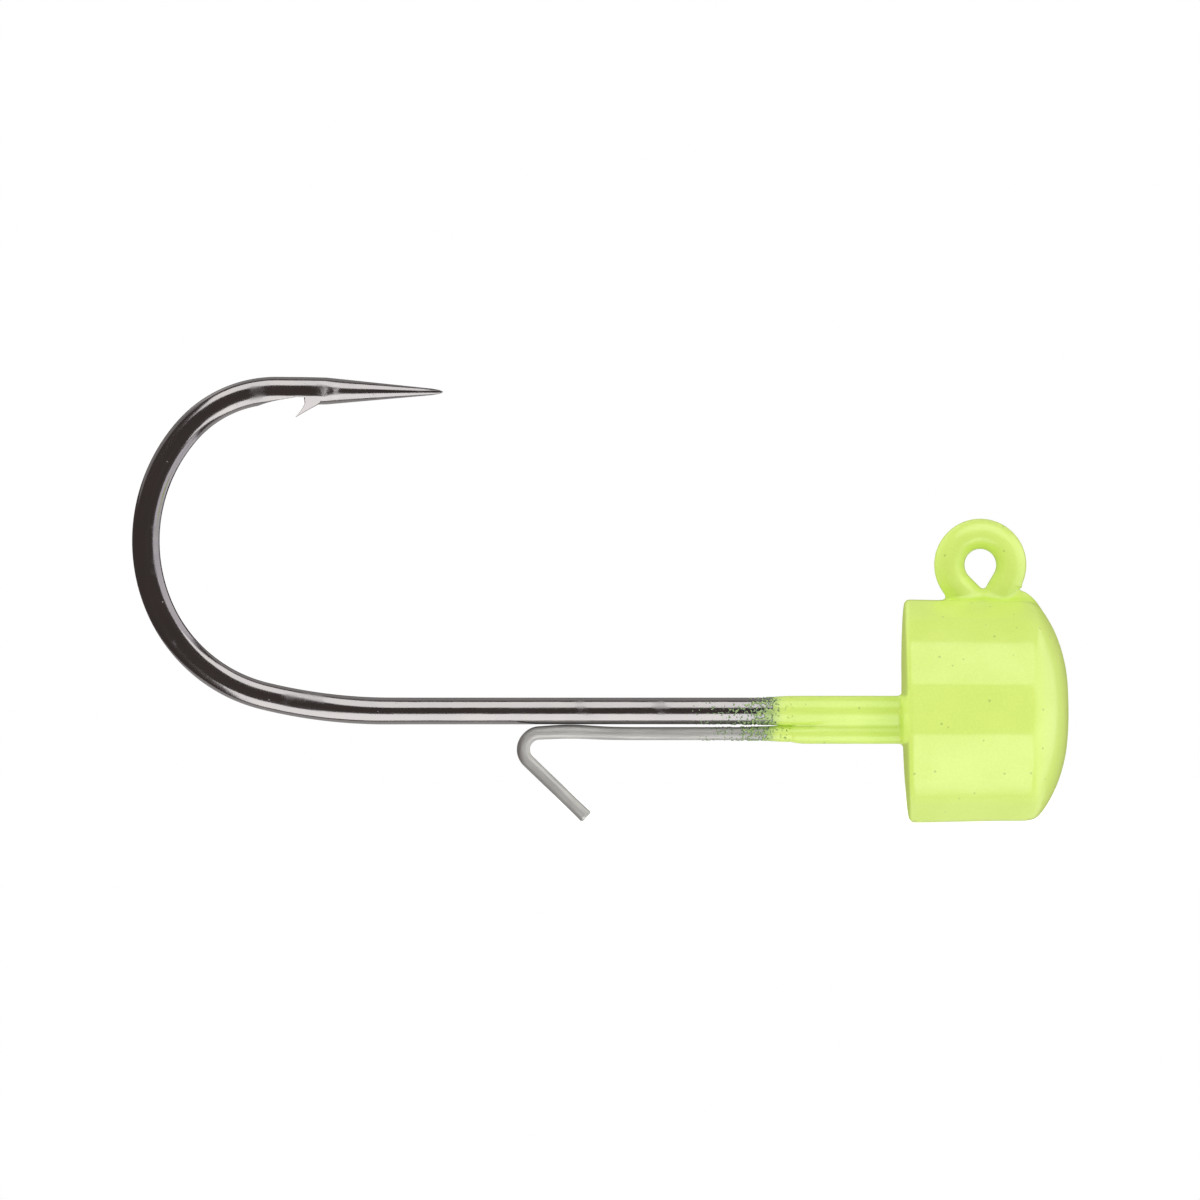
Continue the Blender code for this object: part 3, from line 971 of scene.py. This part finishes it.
def area_light(name, elevation, azimuth, distance, size, radiance, colour=(1, 1, 1), fill=False):
    """A soft box facing the object. Azimuth 0 is the camera's side, 90 is +X; a fill has no glint."""
    light = bpy.data.lights.new(name, "AREA")
    light.shape = "RECTANGLE"
    light.size, light.size_y = size
    light.color = colour
    light.energy = radiance * math.pi * size[0] * size[1]
    obj = bpy.data.objects.new(name, light)
    bpy.context.scene.collection.objects.link(obj)
    e, a = math.radians(elevation), math.radians(azimuth)
    away = Vector((math.sin(a) * math.cos(e), -math.cos(a) * math.cos(e), math.sin(e)))
    obj.location = Vector((0.0, 0.0, LIGHT_CENTRE_HEIGHT * MM)) + away * distance
    obj.rotation_mode = "QUATERNION"
    obj.rotation_quaternion = away.to_track_quat("Z", "Y")
    obj.visible_camera = False
    obj.visible_glossy = not fill
    return obj


def make_world():
    world = bpy.data.worlds.new("studio")
    bpy.context.scene.world = world
    world.use_nodes = True
    tree = world.node_tree
    tree.nodes.clear()
    seen = add_node(tree, "ShaderNodeLightPath")
    paper = add_node(tree, "ShaderNodeBackground", None, {"Color": WHITE, "Strength": 1.0})
    room = add_node(
        tree, "ShaderNodeBackground", None, {"Color": ROOM_COLOUR, "Strength": ROOM_STRENGTH}
    )
    mixed = add_node(tree, "ShaderNodeMixShader")
    tree.links.new(seen.outputs["Is Camera Ray"], mixed.inputs[0])
    tree.links.new(room.outputs[0], mixed.inputs[1])
    tree.links.new(paper.outputs[0], mixed.inputs[2])
    output = add_node(tree, "ShaderNodeOutputWorld")
    tree.links.new(mixed.outputs[0], output.inputs["Surface"])


def make_floor(height):
    """A white table top that fades into the white background."""
    radius = FLOOR_RADIUS * MM
    vertices = [(0.0, 0.0, height)]
    for i in range(FLOOR_SIDES):
        turn = 2 * math.pi * i / FLOOR_SIDES
        vertices.append((radius * math.cos(turn), radius * math.sin(turn), height))
    faces = [(0, i + 1, (i + 1) % FLOOR_SIDES + 1) for i in range(FLOOR_SIDES)]
    mesh = bpy.data.meshes.new("floor")
    mesh.from_pydata(vertices, [], faces)
    floor = bpy.data.objects.new("floor", mesh)
    bpy.context.scene.collection.objects.link(floor)
    material, tree, shader = new_material("floor")
    shader.inputs["Base Color"].default_value = FLOOR_COLOUR
    shader.inputs["Emission Color"].default_value = WHITE
    shader.inputs["Emission Strength"].default_value = FLOOR_GLOW
    shader.inputs["Roughness"].default_value = 0.9
    shader.inputs["Specular IOR Level"].default_value = 0.0
    coordinates = add_node(tree, "ShaderNodeTexCoord")
    length = add_node(
        tree, "ShaderNodeVectorMath", {"operation": "LENGTH"}, {0: coordinates.outputs["Object"]}
    )
    fade_from, fade_to = (share * radius for share in FLOOR_FADE)
    alpha = ramp(tree, length.outputs["Value"], fade_from, fade_to, 1.0, 0.0)
    tree.links.new(alpha, shader.inputs["Alpha"])
    floor.data.materials.append(material)
    floor.visible_diffuse = False
    floor.visible_glossy = False
    floor.visible_shadow = False
    floor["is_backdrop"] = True


def make_camera():
    """A long lens, level, that takes in PICTURE_WIDTH millimetres at the object."""
    data = bpy.data.cameras.new("camera")
    camera = bpy.data.objects.new("camera", data)
    bpy.context.scene.collection.objects.link(camera)
    data.sensor_width = SENSOR_WIDTH
    data.lens = SENSOR_WIDTH * CAMERA_DISTANCE / PICTURE_WIDTH
    data.clip_start, data.clip_end = 0.01, 10.0
    camera.location = (CAMERA_X * MM, -CAMERA_DISTANCE * MM, SHANK_Z + CAMERA_RISE * MM)
    camera.rotation_euler = (math.pi / 2, 0.0, 0.0)
    bpy.context.scene.camera = camera


def make_studio(floor_height):
    make_world()
    make_floor(floor_height)
    # Name, elevation, azimuth, distance, size, radiance, and the colour or whether it only fills
    area_light("top_box", 57, 8, 0.45, (0.62, 0.47), 1.78)
    area_light("low_box", -58, 8, 0.45, (0.46, 0.56), 1.95)
    area_light("right_box", 0, 88, 0.45, (0.86, 0.86), 1.05, (0.94, 0.92, 1.0))
    area_light("back_low", -50, 178, 0.45, (0.80, 0.50), 0.50)
    area_light("back_top", 55, 180, 0.45, (0.62, 0.40), 0.35)
    area_light("left_back", 35, 235, 0.50, (0.50, 0.40), 0.28)
    area_light("front_fill", 0, 0, 0.45, (0.70, 0.70), 0.70, fill=True)
    area_light("back_fill", 6, 180, 0.55, (1.10, 0.80), 0.45, fill=True)
    area_light("left_fill", 5, 262, 0.50, (0.80, 0.80), 1.95, fill=True)
    area_light("under_fill", -80, 0, 0.45, (0.60, 0.60), 0.30, fill=True)
    area_light("right_fill", 0, 95, 0.50, (0.70, 0.70), 0.50, fill=True)
    area_light("rear_fill", 30, 205, 0.50, (0.60, 0.50), 0.60, fill=True)
    scene = bpy.context.scene
    scene.view_settings.view_transform = "Standard"
    scene.view_settings.look = "None"
    scene.view_settings.exposure = 0.0
    scene.view_settings.gamma = 1.0


# ---------------------------------------------------------------- assembly


def dress(obj, material, node=None):
    obj.data.materials.clear()
    obj.data.materials.append(material)
    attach(obj, "root")
    if node:
        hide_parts(node)


make_camera()
nickel = black_nickel()
dress(make_hook(), nickel, "hook")
dress(make_keeper(), plain_wire(), "bait_keeper")
dress(make_coat(), chartreuse_coat("chartreuse_coat", False), "powder_coat")
edge_paint = chartreuse_coat("chartreuse_edge", True)
hook_edge = paint_edge("paint_edge_hook", 0.0, HOOK_RADIUS, shift=0.0, seed=3.7, sides=210)
dress(hook_edge, edge_paint)
keeper_edge = paint_edge(
    "paint_edge_keeper", KEEPER_DROP, KEEPER_RADIUS, shift=-0.15, seed=5.3, sides=110
)
dress(keeper_edge, edge_paint)
dress(make_casting(), cast_lead(), "head_casting")
make_studio(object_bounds()[0].z - FLOOR_GAP * MM)
